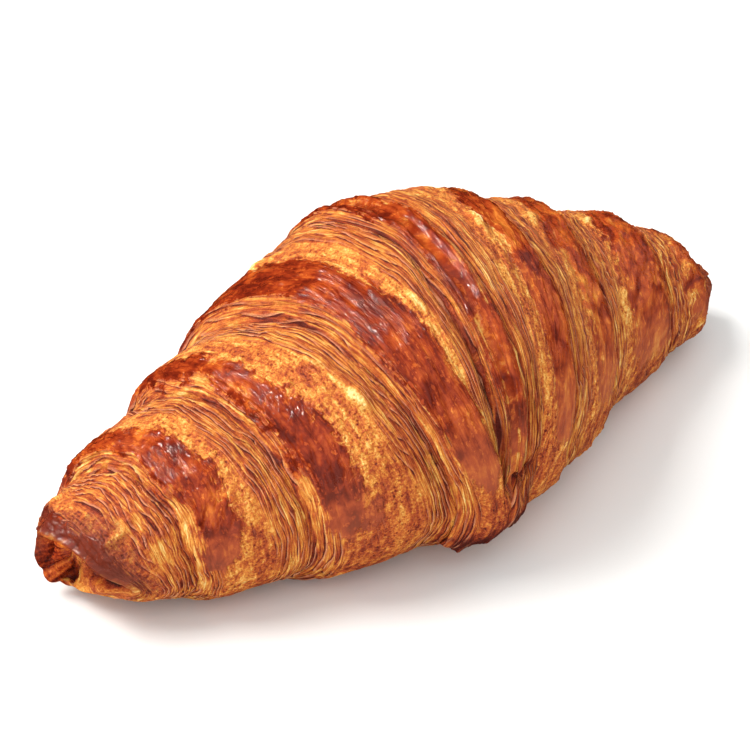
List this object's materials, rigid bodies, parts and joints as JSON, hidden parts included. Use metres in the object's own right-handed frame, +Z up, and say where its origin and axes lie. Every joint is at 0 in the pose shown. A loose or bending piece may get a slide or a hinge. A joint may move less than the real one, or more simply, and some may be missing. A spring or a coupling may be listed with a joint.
{
  "type": "croissant",
  "caption": "Baked croissant: a rolled triangle of laminated dough with stepped wraps, glazed crests and tapered tips, lying on its flat underside.",
  "frame": {"origin": "centre of the underside of the object's box, on the plane it rests on", "axes": "+X along the croissant towards its pointed tip, +Y away from the side where the roll's point is tucked, +Z up"},
  "size_m": [0.1718, 0.079, 0.0599],
  "materials": {
    "crust": "baked golden-brown crust, satin to glossy where the egg wash browned, flaky where it did not"
  },
  "bodies": {
    "root": {"croissant": "crust"}
  },
  "joints": []
}
